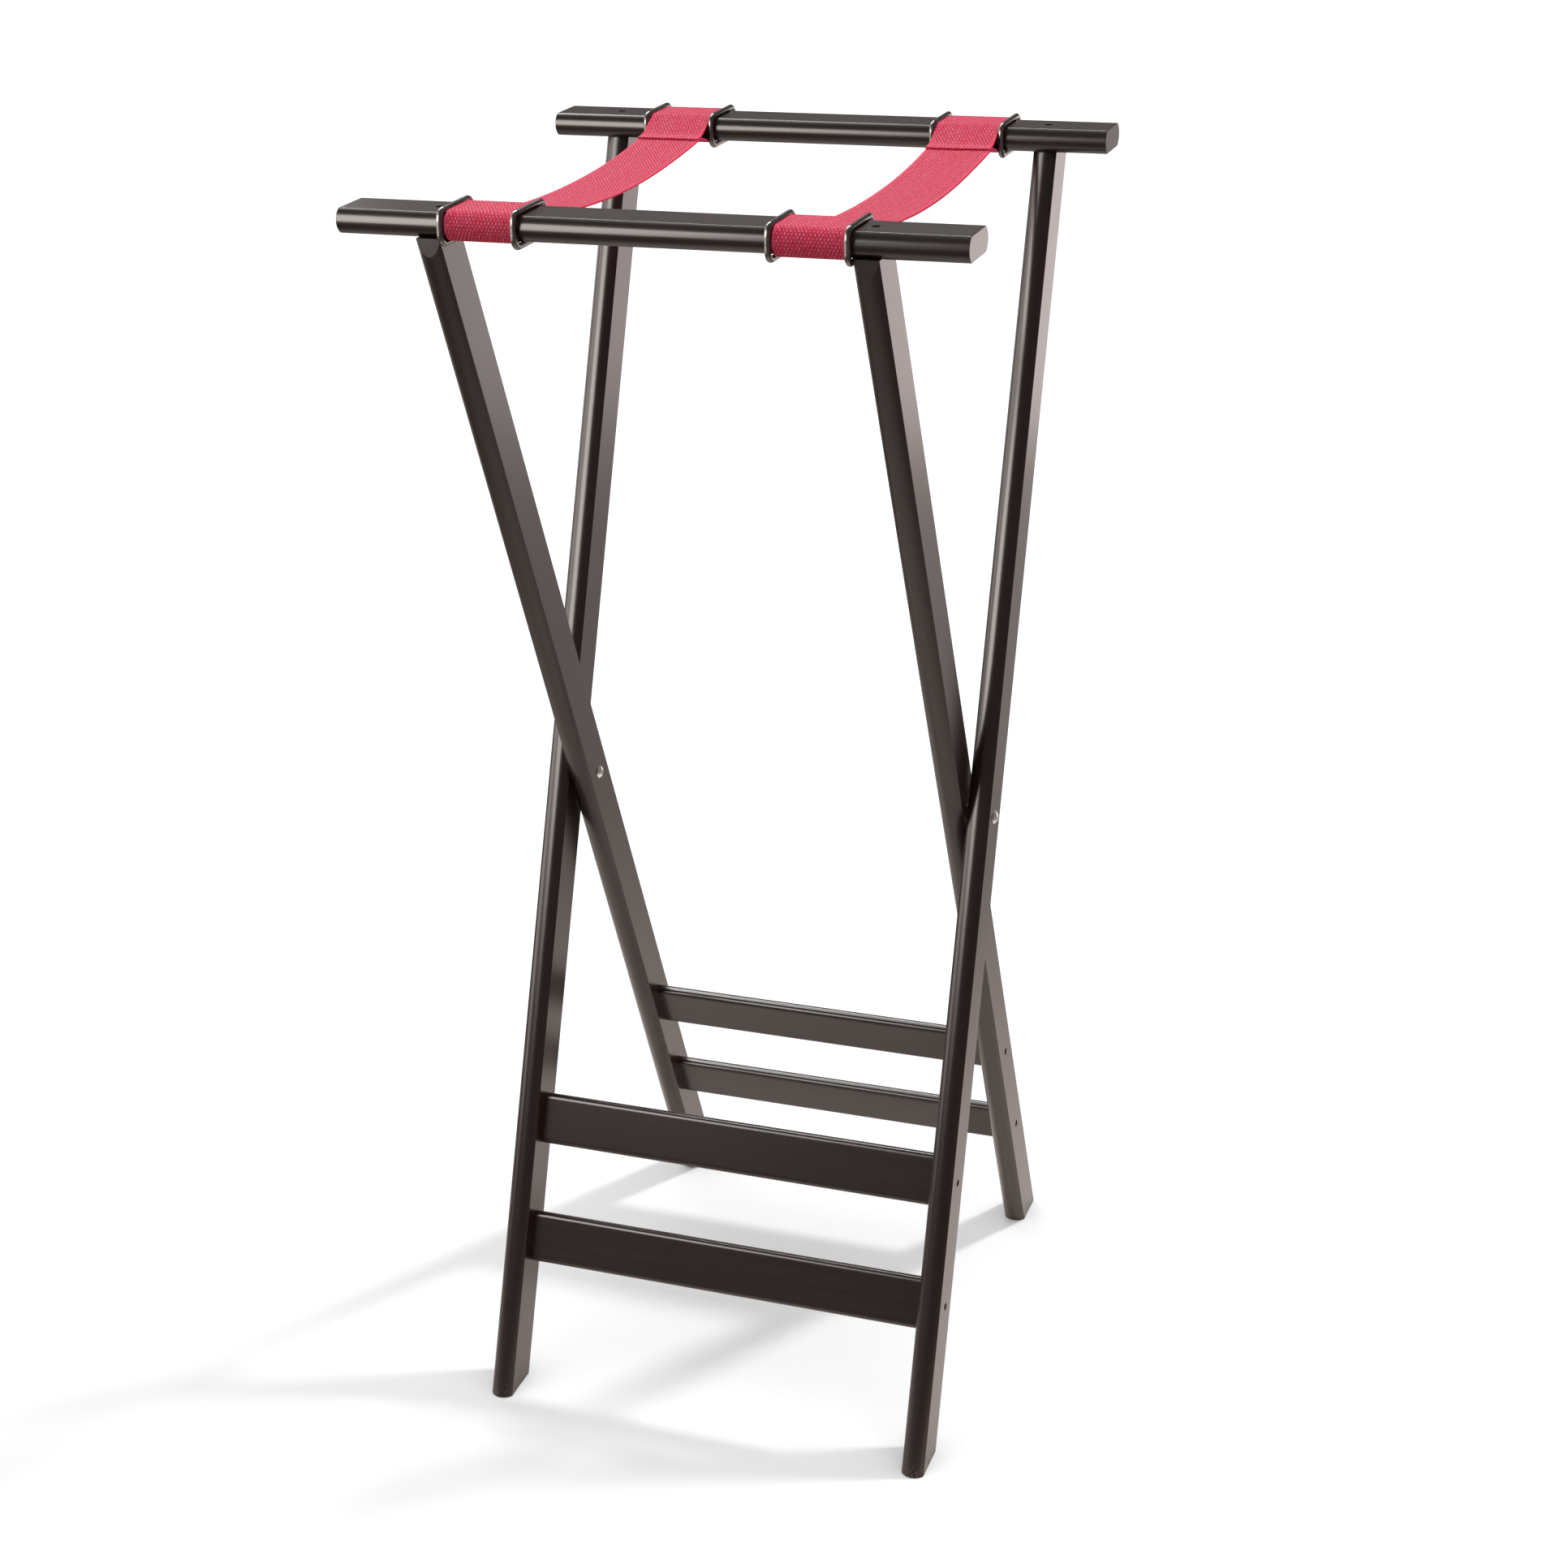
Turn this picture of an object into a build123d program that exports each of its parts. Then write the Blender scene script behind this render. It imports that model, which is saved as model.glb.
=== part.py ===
"""Folding luggage rack: two crossed wooden frames, hinged low down, with two webbing straps.

Frame: +X runs along the rails, to the right. +Y runs from the front rail to the back rail.
+Z is up, and the origin is on the floor, midway between the four feet. Millimetres.

The outer frame carries the back rail and stands on the front feet. The inner frame carries the
front rail, stands on the back feet and swings inside the outer one about the pivot bolts.
"""

from build123d import *
import os
from math import atan2, cos, degrees, sin, sqrt

# Overall size
RACK_LENGTH = 459.74
RACK_DEPTH = 424.2
RACK_HEIGHT = 990.6

# Rails: flat top and bottom, and long sides that bow outwards
RAIL_WIDTH = 45.7
RAIL_THICK = 17.8
RAIL_BOW = 5.8

# Legs: flat sides, and narrow faces that bow outwards
LEG_WIDTH = 40.0
LEG_THICK = 18.3
LEG_BOW = 4.5
OUTER_LEG_X = 179.4
INNER_LEG_X = 159.5
LEG_TOP_Y = 195.0
LEG_TRIM_Y = 211.3
EDGE_BREAK = 0.6
FOOT_CHAMFER = 0.5

# Pivot, on the line where the legs cross
PIVOT_Z = 484.0
BOLT_RADIUS = 3.0
SLEEVE_RADIUS = 4.0
SLEEVE_LENGTH = 11.0
HEAD_RADIUS = 5.2
HEAD_HEIGHT = 3.0
SOCKET_RADIUS = 2.4
SOCKET_DEPTH = 1.6
WASHER_RADIUS = 9.0
RUNNING_FIT = 0.05
AXIAL_GAP = 0.15

# Slats, measured down each leg from the pivot to the middle of the slat
SLAT_WIDTH = 42.0
SLAT_THICK = 10.0
SLAT_ROUND = 4.0
SLAT_DROPS = {"upper": 293.0, "lower": 393.0}

# Wood screws, each sunk in a counterbore
SCREW_HEAD_RADIUS = 2.7
SCREW_HEAD_HEIGHT = 1.8
SCREW_SHANK_RADIUS = 1.9
SCREW_LENGTH = 48.0
SCREW_SOCKET_RADIUS = 1.4
SCREW_SOCKET_DEPTH = 1.1
COUNTERBORE_RADIUS = 3.0
COUNTERBORE_DEPTH = 4.0

# Straps: webbing looped round both rails
STRAP_X = 120.0
STRAP_WIDTH = 50.8
STRAP_THICK = 1.6
STRAP_CLEARANCE = 0.3
STRAP_JOIN_Y = 150.0
STRAP_JOIN_Z = 979.8
STRAP_TAIL_Y = 138.5
STRAP_LOW_Z = 968.7

# Wire keepers: one on each side of each strap, on both rails
RING_WIRE_RADIUS = 2.2
RING_SIDE_SLACK = 0.9
RING_TOP_GAP = 0.05
RING_UNDER_SLACK = 1.0
RING_CORNER = 7.0
RING_OFFSET = 27.8

# Worked out from the above
RAIL_Y = (RACK_DEPTH - RAIL_WIDTH) / 2
RAIL_Z = RACK_HEIGHT - RAIL_THICK / 2
LEG_TOP_Z = RACK_HEIGHT - RAIL_THICK
LEAN = atan2(LEG_TOP_Y, LEG_TOP_Z - PIVOT_Z)
SLEEVE_BORE = SLEEVE_RADIUS + RUNNING_FIT
BOLT_BORE = BOLT_RADIUS + RUNNING_FIT
LEG_GAP = OUTER_LEG_X - INNER_LEG_X - LEG_THICK

# side is +1 for the outer frame, whose top leans back, and -1 for the inner frame
OUTER = 1
INNER = -1
LEG_X = {OUTER: OUTER_LEG_X, INNER: INNER_LEG_X}
RIGHT = 1
LEFT = -1


def bowed_section(width, thick, bow):
    """A bar's section: flat faces thick apart, and narrow sides that bow out. Width is along x."""
    half_width = width / 2
    half_thick = thick / 2
    flat = half_width - bow
    outline = [
        Line((-flat, half_thick), (flat, half_thick)),
        ThreePointArc((flat, half_thick), (half_width, 0), (flat, -half_thick)),
        Line((flat, -half_thick), (-flat, -half_thick)),
        ThreePointArc((-flat, -half_thick), (-half_width, 0), (-flat, half_thick)),
    ]
    face = make_face(outline)
    return fillet(face.vertices(), EDGE_BREAK)


def up_leg(side):
    """Unit direction up a leg."""
    return Vector(0, side * sin(LEAN), cos(LEAN))


def on_leg(side, x, drop):
    """The point on a leg's centre line, drop below the pivot."""
    return Vector(x, 0, PIVOT_Z) - up_leg(side) * drop


def along_x(x_start, y, z, x_sign=1):
    """A plane whose normal runs along X, for what is drilled or driven sideways."""
    return Plane(origin=(x_start, y, z), x_dir=(0, 1, 0), z_dir=(x_sign, 0, 0))


def rod(plane, radius, length):
    """A cylinder from a plane, along its normal."""
    return extrude(plane * Circle(radius), length)


def screw(plane):
    """A wood screw whose head's top lies in the plane and which is driven along its normal."""
    body = rod(plane, SCREW_HEAD_RADIUS, SCREW_HEAD_HEIGHT)
    body += rod(plane, SCREW_SHANK_RADIUS, SCREW_LENGTH)
    socket = RegularPolygon(SCREW_SOCKET_RADIUS, 6)
    return body - extrude(plane * socket, SCREW_SOCKET_DEPTH)


def screw_hole(surface_plane):
    """What a screw removes: a counterbore from the surface, then the shank's hole."""
    bore = rod(surface_plane, COUNTERBORE_RADIUS, COUNTERBORE_DEPTH)
    return bore + rod(surface_plane, SCREW_SHANK_RADIUS + RUNNING_FIT, SCREW_LENGTH + COUNTERBORE_DEPTH)


def screw_seat(surface_plane):
    """The plane of a screw head's top, sunk so that the head sits on the counterbore's floor."""
    return surface_plane.offset(COUNTERBORE_DEPTH - SCREW_HEAD_HEIGHT)


def rail_screw_planes(side):
    """Where the two screws enter the top of a rail, pointing down into the legs."""
    return [
        Plane(origin=(hand * LEG_X[side], side * RAIL_Y, RACK_HEIGHT), x_dir=(1, 0, 0), z_dir=(0, 0, -1))
        for hand in (LEFT, RIGHT)
    ]


def slat_screw_plane(side, hand, drop):
    """Where a slat's screw enters a leg's outward face, pointing at the middle of the rack."""
    point = on_leg(side, hand * (LEG_X[side] + LEG_THICK / 2), drop)
    return along_x(point.X, point.Y, point.Z, -hand)


def rail(side):
    """A top rail, with the two screw holes over its legs."""
    plane = along_x(-RACK_LENGTH / 2, side * RAIL_Y, RAIL_Z)
    bar = extrude(plane * bowed_section(RAIL_WIDTH, RAIL_THICK, RAIL_BOW), RACK_LENGTH)
    ends = bar.faces().filter_by(Axis.X)
    bar = chamfer(ends.edges(), EDGE_BREAK / 2)
    for entry in rail_screw_planes(side):
        bar -= screw_hole(entry)
    return bar


def leg_blank(side, hand):
    """A leg cut level at the floor and under its rail, and trimmed upright just inside the rail's outer side."""
    up = up_leg(side)
    reach = LEG_TOP_Z
    foot = on_leg(side, hand * LEG_X[side], reach)
    plane = Plane(origin=foot, x_dir=(0, cos(LEAN), -side * sin(LEAN)), z_dir=up)
    bar = extrude(plane * bowed_section(LEG_WIDTH, LEG_THICK, LEG_BOW), 2 * reach)
    room = Pos(hand * LEG_X[side], 0, LEG_TOP_Z / 2) * Box(2 * LEG_THICK, 2 * RACK_DEPTH, LEG_TOP_Z)
    bar &= room
    overhang_y = side * (LEG_TRIM_Y + LEG_WIDTH / 2)
    overhang = Pos(hand * LEG_X[side], overhang_y, LEG_TOP_Z) * Box(2 * LEG_THICK, LEG_WIDTH, LEG_WIDTH * 3)
    bar -= overhang
    foot_edges = bar.edges().group_by(Axis.Z)[0]
    return chamfer(foot_edges, FOOT_CHAMFER)


def leg(side, hand):
    """A leg with its pivot bore and its screw holes."""
    bar = leg_blank(side, hand)
    outward_face = hand * (LEG_X[side] + LEG_THICK / 2)
    pivot = along_x(outward_face, 0, PIVOT_Z, -hand)
    bar -= rod(pivot, BOLT_BORE, LEG_THICK)
    if side == OUTER:
        bar -= rod(pivot, SLEEVE_BORE, SLEEVE_LENGTH + RUNNING_FIT)
    for drop in SLAT_DROPS.values():
        bar -= screw_hole(slat_screw_plane(side, hand, drop))
    for entry in rail_screw_planes(side):
        bar -= screw_hole(entry)
    return bar


def slat(side, drop):
    """A cross slat between a frame's legs, with its wide face in the plane of the legs."""
    half = LEG_X[side] - LEG_THICK / 2
    plane = Plane(origin=on_leg(side, -half, drop), x_dir=up_leg(side), z_dir=(1, 0, 0))
    bar = extrude(plane * RectangleRounded(SLAT_WIDTH, SLAT_THICK, SLAT_ROUND), 2 * half)
    for hand in (LEFT, RIGHT):
        bar -= screw_hole(slat_screw_plane(side, hand, drop))
    return bar


def rail_screws(side):
    """The two screws that hold a rail down on its legs."""
    return Compound(children=[screw(screw_seat(entry)) for entry in rail_screw_planes(side)])


def slat_screws(side):
    """The four screws that hold a frame's two slats between its legs."""
    entries = [
        slat_screw_plane(side, hand, drop) for drop in SLAT_DROPS.values() for hand in (LEFT, RIGHT)
    ]
    return Compound(children=[screw(screw_seat(entry)) for entry in entries])


def dome(plane):
    """A low domed head that stands on a plane, away from the plane's normal."""
    ball_radius = (HEAD_RADIUS**2 + HEAD_HEIGHT**2) / (2 * HEAD_HEIGHT)
    centre = plane.offset(ball_radius - HEAD_HEIGHT).location
    ball = centre * Sphere(ball_radius)
    return ball & rod(plane.offset(-2 * HEAD_HEIGHT), HEAD_RADIUS, 2 * HEAD_HEIGHT)


def pivot_bolt(hand):
    """The pivot bolt: a socketed dome inside the inner leg, and a shank out through both legs."""
    seat_x = hand * (INNER_LEG_X - LEG_THICK / 2 - AXIAL_GAP)
    seat = along_x(seat_x, 0, PIVOT_Z, hand)
    end_x = OUTER_LEG_X + LEG_THICK / 2 - AXIAL_GAP
    bolt = dome(seat) + rod(seat, BOLT_RADIUS, end_x - abs(seat_x))
    socket = extrude(seat.offset(-HEAD_HEIGHT) * RegularPolygon(SOCKET_RADIUS, 6), SOCKET_DEPTH)
    return bolt - socket


def pivot_nut(hand):
    """The sleeve nut: a plain dome on the outer leg's outward face, with a sleeve sunk in the leg."""
    seat = along_x(hand * (OUTER_LEG_X + LEG_THICK / 2), 0, PIVOT_Z, -hand)
    nut = dome(seat) + rod(seat, SLEEVE_RADIUS, SLEEVE_LENGTH)
    return nut - rod(seat, BOLT_BORE, SLEEVE_LENGTH)


def pivot_washer(hand):
    """The washer in the gap between an outer leg and an inner leg."""
    face = along_x(hand * (OUTER_LEG_X - LEG_THICK / 2), 0, PIVOT_Z, -hand)
    thick = LEG_GAP - AXIAL_GAP
    return rod(face, WASHER_RADIUS, thick) - rod(face, BOLT_BORE, thick)


def keeper_ring(side, x):
    """A rounded rectangular wire loop that hangs round a rail."""
    wire = 2 * RING_WIRE_RADIUS
    wide = RAIL_WIDTH + 2 * RING_SIDE_SLACK + wire
    high = RAIL_THICK + RING_TOP_GAP + RING_UNDER_SLACK + wire
    centre_z = RACK_HEIGHT + RING_TOP_GAP + RING_WIRE_RADIUS - high / 2
    plane = along_x(x, side * RAIL_Y, centre_z)
    path = (plane * RectangleRounded(wide, high, RING_CORNER)).wire()
    start = path @ 0
    section = Plane(origin=start, z_dir=path % 0) * Circle(RING_WIRE_RADIUS)
    return sweep(section, path=path)


def strap_loop(side):
    """The section of the webbing's turn round one rail, a teardrop that closes where the tail is sewn down."""
    join = Pos(-side * (RAIL_Y - STRAP_JOIN_Y), STRAP_JOIN_Z - RAIL_Z)
    bar = bowed_section(RAIL_WIDTH, RAIL_THICK, RAIL_BOW)
    outlines = []
    for off_wood in (STRAP_CLEARANCE + STRAP_THICK, STRAP_CLEARANCE):
        around = offset(bar, off_wood, kind=Kind.ARC)
        point = join * Circle(off_wood)
        outlines.append(make_hull(around.edges() + point.edges()))
    return along_x(0, side * RAIL_Y, RAIL_Z) * (outlines[0] - outlines[1])


def strap_span():
    """The section of the webbing between the rails, sagging in one long arc, with the two sewn tails on top."""
    sag = STRAP_JOIN_Z - STRAP_THICK / 2 - STRAP_LOW_Z
    radius = (STRAP_JOIN_Y**2 + sag**2) / (2 * sag)
    plane = along_x(0, 0, STRAP_LOW_Z + radius)
    half = STRAP_THICK / 2
    span = Circle(radius + half) - Circle(radius - half)
    tails = Circle(radius - half) - Circle(radius - half - STRAP_THICK)
    window = Pos(0, -radius) * Rectangle(2 * STRAP_JOIN_Y, 8 * sag)
    between_tails = Pos(0, -radius) * Rectangle(2 * STRAP_TAIL_Y, 8 * sag)
    return plane * ((span & window) + (tails & window) - (tails & between_tails))


def strap(hand):
    """One strap: a loop round each rail and the sagging span between them."""
    section = strap_span() + strap_loop(OUTER) + strap_loop(INNER)
    return Pos(hand * STRAP_X - STRAP_WIDTH / 2, 0, 0) * extrude(section, STRAP_WIDTH, dir=(1, 0, 0))


def frame_nodes(name, side):
    """The nodes of one frame: rail, legs, slats, screws and keeper rings."""
    nodes = {
        f"{name}_rail": rail(side),
        f"{name}_leg_left": leg(side, LEFT),
        f"{name}_leg_right": leg(side, RIGHT),
        f"{name}_rail_screws": rail_screws(side),
        f"{name}_slat_screws": slat_screws(side),
    }
    for place, drop in SLAT_DROPS.items():
        nodes[f"{name}_slat_{place}"] = slat(side, drop)
    for hand, strap_name in ((LEFT, "left"), (RIGHT, "right")):
        for offset_sign, edge in ((-1, "a"), (1, "b")):
            x = hand * STRAP_X + offset_sign * RING_OFFSET
            nodes[f"{name}_ring_{strap_name}_{edge}"] = keeper_ring(side, x)
    return nodes


def all_nodes():
    """Every node of the rack, by name."""
    nodes = frame_nodes("outer", OUTER)
    nodes.update(frame_nodes("inner", INNER))
    for hand, name in ((LEFT, "left"), (RIGHT, "right")):
        nodes[f"pivot_bolt_{name}"] = pivot_bolt(hand)
        nodes[f"pivot_nut_{name}"] = pivot_nut(hand)
        nodes[f"pivot_washer_{name}"] = pivot_washer(hand)
        nodes[f"strap_{name}"] = strap(hand)
    return nodes


os.makedirs("parts", exist_ok=True)
for node, shape in all_nodes().items():
    export_step(shape, f"parts/{node}.step")
print("legs lean", round(degrees(LEAN), 2), "degrees; gap between legs", round(LEG_GAP, 2))
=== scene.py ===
# %% [markdown]
# # A folding luggage rack
# The rack is two crossed frames of dark lacquered wood. Each frame is a top rail on two legs, with two
# slats between the legs, and pivot bolts join the frames where the legs cross. Two straps of rose
# webbing join the rails, and wire keepers hold them in place.
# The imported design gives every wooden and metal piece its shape. This script adds the straps, the
# finishes, the studio and the camera. Lengths are in metres.

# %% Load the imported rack
import random
from math import asin, atan2, cos, degrees, pi, radians, sin

import bpy
import numpy as np
from mathutils import Matrix, Vector


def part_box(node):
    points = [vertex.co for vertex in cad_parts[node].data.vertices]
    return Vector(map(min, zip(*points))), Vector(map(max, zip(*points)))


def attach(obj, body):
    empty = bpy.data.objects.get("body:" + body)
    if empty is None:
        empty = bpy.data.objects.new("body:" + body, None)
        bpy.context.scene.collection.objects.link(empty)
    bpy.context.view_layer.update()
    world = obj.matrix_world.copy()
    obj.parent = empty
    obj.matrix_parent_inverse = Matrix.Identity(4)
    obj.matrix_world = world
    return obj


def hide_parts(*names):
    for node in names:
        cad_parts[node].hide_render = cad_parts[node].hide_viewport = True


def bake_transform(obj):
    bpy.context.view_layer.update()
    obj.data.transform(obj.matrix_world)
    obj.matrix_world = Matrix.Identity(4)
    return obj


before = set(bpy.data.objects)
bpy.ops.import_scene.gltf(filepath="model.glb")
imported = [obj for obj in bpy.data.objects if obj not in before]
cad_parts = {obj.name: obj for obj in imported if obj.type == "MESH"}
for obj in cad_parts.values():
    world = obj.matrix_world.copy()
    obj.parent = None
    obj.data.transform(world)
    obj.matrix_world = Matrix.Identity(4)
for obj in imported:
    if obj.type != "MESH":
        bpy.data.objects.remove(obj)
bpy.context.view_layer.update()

MM = 0.001


def deselect_all():
    """Nothing selected, so that the next operator acts on the new piece alone."""
    bpy.ops.object.select_all(action="DESELECT")
    bpy.context.view_layer.objects.active = None


deselect_all()

# %% [markdown]
# ## The camera
# A camera turns about three axes: yaw left or right, pitch down, and a slight roll. Multiplying the
# three turns in that order keeps each number readable, where one Euler triple would mix them. It
# stands in front of the rack, to its right, a little above the rails.

# %% Place the camera
EYE = Vector((0.7142, -1.9038, 1.3763))
YAW_LEFT = radians(20.24)
PITCH_DOWN = radians(23.55)
ROLL = radians(1.86)
LENS_MM = 62.8

camera_data = bpy.data.cameras.new("camera")
camera_data.lens = LENS_MM
camera_data.sensor_width = 36.0
camera = bpy.data.objects.new("camera", camera_data)
turn = Matrix.Rotation(YAW_LEFT, 4, "Z") @ Matrix.Rotation(pi / 2 - PITCH_DOWN, 4, "X")
turn = turn @ Matrix.Rotation(-ROLL, 4, "Z")
camera.matrix_world = Matrix.Translation(EYE) @ turn
bpy.context.scene.collection.objects.link(camera)
bpy.context.scene.camera = camera
print("camera is", round(EYE.length, 2), "m from the middle of the floor under the rack")

# %% [markdown]
# ## Node helpers
# Every finish below is made of shader nodes, and these helpers keep its cells short. They add a node
# with its inputs set, do maths, change a range, mix colours, start a material, and make and place a
# node group. An input can be a plain value or another node's output.

# %% Make the node helpers
def set_input(tree, socket, value):
    """Link another node's output to an input, or give the input a plain value."""
    if isinstance(value, bpy.types.NodeSocket):
        tree.links.new(value, socket)
    else:
        socket.default_value = value


def add_node(tree, kind, inputs=None, **settings):
    """A new node with its properties and inputs set."""
    node = tree.nodes.new(kind)
    for name, value in settings.items():
        setattr(node, name, value)
    for name, value in (inputs or {}).items():
        set_input(tree, node.inputs[name], value)
    return node


def maths(tree, operation, *values, clamp=False):
    """The output of a maths node."""
    node = tree.nodes.new("ShaderNodeMath")
    node.operation = operation
    node.use_clamp = clamp
    for socket, value in zip(node.inputs, values):
        set_input(tree, socket, value)
    return node.outputs[0]


def remap(tree, value, low, high, to_low=0.0, to_high=1.0):
    """The value moved from one range to another, and clamped."""
    inputs = {"Value": value, "From Min": low, "From Max": high, "To Min": to_low, "To Max": to_high}
    return add_node(tree, "ShaderNodeMapRange", inputs).outputs["Result"]


def blend_colours(tree, share, first, second):
    """A mix of two colours by a share from 0 to 1."""
    node = tree.nodes.new("ShaderNodeMix")
    node.data_type = "RGBA"
    for number, value in ((0, share), (6, first), (7, second)):
        set_input(tree, node.inputs[number], value)
    return node.outputs[2]


def new_material(name, **principled):
    """A material, its node tree and its Principled shader, with plain values set on the shader."""
    material = bpy.data.materials.new(name)
    material.use_nodes = True
    tree = material.node_tree
    shader = tree.nodes["Principled BSDF"]
    for socket, value in principled.items():
        shader.inputs[socket.replace("_", " ")].default_value = value
    return material, tree, shader


def new_group(name, inputs, outputs):
    """A shader node group with named number, vector or colour sockets. A number input has a default."""
    group = bpy.data.node_groups.new(name, "ShaderNodeTree")
    kinds = {"number": "NodeSocketFloat", "vector": "NodeSocketVector", "colour": "NodeSocketColor"}
    for label, (kind, default) in inputs.items():
        socket = group.interface.new_socket(name=label, in_out="INPUT", socket_type=kinds[kind])
        if default is not None:
            socket.default_value = default
    for label, kind in outputs.items():
        group.interface.new_socket(name=label, in_out="OUTPUT", socket_type=kinds[kind])
    start = group.nodes.new("NodeGroupInput")
    end = group.nodes.new("NodeGroupOutput")
    return group, start.outputs, end.inputs


def use_group(tree, group, inputs):
    """A group placed in a tree, with its inputs set or linked."""
    node = tree.nodes.new("ShaderNodeGroup")
    node.node_tree = group
    for name, value in inputs.items():
        set_input(tree, node.inputs[name], value)
    return node.outputs


# %% [markdown]
# ## The studio
# Dark satin lacquer shows the room more than its own colour, so the room matters as much as the
# finish. A bright sky and a soft sun from behind on the right light the floor and cast the pale
# shadows. What the lacquer mirrors is separate: a dim room, a floor that is bright only near the rack
# and behind it, a softbox in front on the left for the long highlights, a box and a card further left
# for the bowed sides, a card low behind for the flat sides, and a strip high behind for the rail tops.

# %% Lay the floor
FLOOR_SIZE = 60.0
FLOOR_DROP = 0.1 * MM
FLOOR_WHITE = (0.93, 0.93, 0.93, 1)
NEAR_MIRRORED = (0.95, 0.84, 0.78, 1)
FAR_MIRRORED = (0.15, 0.125, 0.11, 1)
BACK_MIRRORED = (0.42, 0.37, 0.35, 1)
NEAR_FADES = (0.2, 1.1)
BACK_STARTS = (0.45, 1.15)

bpy.ops.mesh.primitive_plane_add(size=FLOOR_SIZE, location=(0, 0, -FLOOR_DROP))
floor = bpy.context.object
floor.name = "studio_floor"
floor_paint, floor_tree, floor_shader = new_material("studio_floor", Roughness=0.9)
floor_shader.inputs["Specular IOR Level"].default_value = 0.0
floor_place = add_node(floor_tree, "ShaderNodeTexCoord").outputs["Object"]
from_rack = add_node(floor_tree, "ShaderNodeVectorMath", {0: floor_place}, operation="LENGTH")
near_rack = remap(floor_tree, from_rack.outputs["Value"], *NEAR_FADES, 1.0, 0.0)
toward_back = add_node(floor_tree, "ShaderNodeSeparateXYZ", {"Vector": floor_place}).outputs["Y"]
behind_rack = remap(floor_tree, toward_back, *BACK_STARTS)
mirrored_colour = blend_colours(floor_tree, behind_rack, FAR_MIRRORED, BACK_MIRRORED)
mirrored_colour = blend_colours(floor_tree, near_rack, mirrored_colour, NEAR_MIRRORED)
seen = add_node(floor_tree, "ShaderNodeLightPath").outputs["Is Camera Ray"]
floor_colour = blend_colours(floor_tree, seen, mirrored_colour, FLOOR_WHITE)
floor_tree.links.new(floor_colour, floor_shader.inputs["Base Color"])
floor.data.materials.append(floor_paint)
deselect_all()
print("floor is", FLOOR_SIZE, "m across")

# %% Light the sky
SKY_LOW = 0.56
SKY_HIGH = 1.22
SKY_TINT = (1, 1, 1, 1)
ROOM_LEVEL = 0.16
ROOM_TINT = (1.0, 0.90, 0.88, 1)

world = bpy.data.worlds.new("studio")
bpy.context.scene.world = world
world.use_nodes = True
sky = world.node_tree
direction = add_node(sky, "ShaderNodeTexCoord").outputs["Generated"]
height = add_node(sky, "ShaderNodeSeparateXYZ", {"Vector": direction}).outputs["Z"]
level = remap(sky, height, 0.0, 1.0, SKY_LOW, SKY_HIGH)
path = add_node(sky, "ShaderNodeLightPath").outputs
level = maths(sky, "MULTIPLY", level, maths(sky, "SUBTRACT", 1.0, path["Is Glossy Ray"]))
level = maths(sky, "ADD", level, maths(sky, "MULTIPLY", path["Is Glossy Ray"], ROOM_LEVEL))
level = maths(sky, "MAXIMUM", level, path["Is Camera Ray"])
sky.links.new(level, sky.nodes["Background"].inputs["Strength"])
tint = blend_colours(sky, path["Is Glossy Ray"], SKY_TINT, ROOM_TINT)
sky.links.new(tint, sky.nodes["Background"].inputs["Color"])
bpy.context.scene.view_settings.view_transform = "Standard"

# %% Hang the lamps
def aim(lamp_data, name, place, target):
    """A lamp at a place, turned to face a target."""
    lamp = bpy.data.objects.new(name, lamp_data)
    facing = (Vector(target) - Vector(place)).to_track_quat("-Z", "Y")
    lamp.matrix_world = Matrix.Translation(Vector(place)) @ facing.to_matrix().to_4x4()
    bpy.context.scene.collection.objects.link(lamp)
    return lamp


def softbox(name, place, target, width, height, brightness, colour):
    """A rectangular lamp that only gloss shows. Its brightness is its own face's."""
    data = bpy.data.lights.new(name, "AREA")
    data.shape = "RECTANGLE"
    data.size = width
    data.size_y = height
    data.energy = brightness * pi * width * height
    data.color = colour
    lamp = aim(data, name, place, target)
    lamp.visible_diffuse = False
    lamp.visible_camera = False
    return lamp


sun_data = bpy.data.lights.new("wide_sun", "SUN")
sun_data.energy = 1.35
sun_data.angle = radians(6.5)
wide_sun = aim(sun_data, "wide_sun", (1.95, 1.9, 3.0), (0, 0, 0))
wide_sun.visible_glossy = False

# Name, place, what it faces, width, height, brightness, colour
SOFTBOXES = (
    ("front_box", (-0.9, -1.25, 1.37), (0, 0, 0.95), 1.1, 1.12, 9.0, (1, 0.94, 0.88)),
    ("left_box", (-2.0, -0.55, 1.25), (0, 0, 0.8), 1.3, 2.3, 3.0, (1, 0.92, 0.87)),
    ("left_card", (-2.2, 1.3, 1.4), (0, 0, 0.8), 2.2, 1.8, 1.1, (1, 0.92, 0.90)),
    ("side_card", (1.25, 2.4, 0.35), (0, 0, 0.6), 2.6, 1.1, 1.25, (1, 0.88, 0.87)),
    ("back_strip", (-0.95, 1.5, 3.1), (0, 0, 0.9), 2.4, 0.5, 22.0, (1, 1, 1)),
)
for row in SOFTBOXES:
    softbox(*row)

# %% [markdown]
# ## Espresso lacquer
# The wood is a pale close-grained timber under an almost black brown satin lacquer. What is left to
# see is fine: slow streaks of tone along the grain, hair-thin pores, a slight orange peel in the
# lacquer, and scuffs near the floor. Grain has a direction, so the group takes coordinates whose X
# runs along the timber, and each material turns its own pieces' coordinates to suit.

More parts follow.
